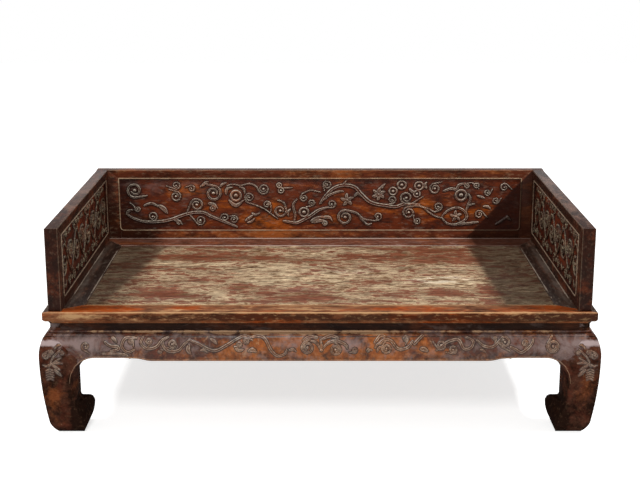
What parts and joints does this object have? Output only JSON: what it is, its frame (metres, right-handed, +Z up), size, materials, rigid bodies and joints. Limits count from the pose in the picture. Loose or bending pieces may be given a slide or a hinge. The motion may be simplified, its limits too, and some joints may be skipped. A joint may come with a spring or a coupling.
{
  "type": "luohan daybed",
  "caption": "Low hardwood couch-bed with a waisted base, bulging aprons, horse-hoof legs, a boarded seat and carved lift-off railings at the back and both ends.",
  "frame": {"origin": "on the floor, below the centre of the seat frame", "axes": "+X along the bed, from its left end to its right end as seen from the front; +Y from the open front to the back railing; +Z up"},
  "size_m": [2.036, 1.204, 0.777],
  "materials": {
    "seat_boards": "worn lacquer over bare boards",
    "battens": "oiled, unlacquered",
    "seat_frame": "worn red-brown lacquer",
    "waist": "dark lacquer",
    "apron": "worn red-brown lacquer",
    "legs": "dark brown lacquer, satin",
    "panels": "red-brown lacquer, carved",
    "keys": "bare hardwood",
    "railing_frames": "dark red-brown lacquer, satin"
  },
  "bodies": {
    "seat": {"apron_back": "apron", "apron_front": "apron", "apron_left": "apron", "apron_right": "apron", "leg_back_left": "legs", "leg_back_right": "legs", "leg_front_left": "legs", "leg_front_right": "legs", "seat_back_rail": "seat_frame", "seat_batten_1": "battens", "seat_batten_2": "battens", "seat_batten_3": "battens", "seat_batten_4": "battens", "seat_board_1": "seat_boards", "seat_board_2": "seat_boards", "seat_board_3": "seat_boards", "seat_board_4": "seat_boards", "seat_board_5": "seat_boards", "seat_front_rail": "seat_frame", "seat_left_rail": "seat_frame", "seat_right_rail": "seat_frame", "waist_back": "waist", "waist_front": "waist", "waist_left": "waist", "waist_right": "waist"},
    "back_railing": {"back_bottom_rail": "railing_frames", "back_left_stile": "railing_frames", "back_panel": "panels", "back_right_stile": "railing_frames", "back_top_rail": "railing_frames", "railing_keys": "keys"},
    "left_railing": {"left_bottom_rail": "railing_frames", "left_front_stile": "railing_frames", "left_panel": "panels", "left_rear_stile": "railing_frames", "left_top_rail": "railing_frames"},
    "right_railing": {"right_bottom_rail": "railing_frames", "right_front_stile": "railing_frames", "right_panel": "panels", "right_rear_stile": "railing_frames", "right_top_rail": "railing_frames"}
  },
  "joints": [
    {"name": "back_lift", "type": "slide", "parent": "seat", "child": "back_railing", "axis": [0, 0, 1], "range_m": [0, 0.36]},
    {"name": "left_lift", "type": "slide", "parent": "back_railing", "child": "left_railing", "axis": [0, 0, 1], "range_m": [0, 0.36]},
    {"name": "right_lift", "type": "slide", "parent": "back_railing", "child": "right_railing", "axis": [0, 0, 1], "range_m": [0, 0.36]}
  ]
}
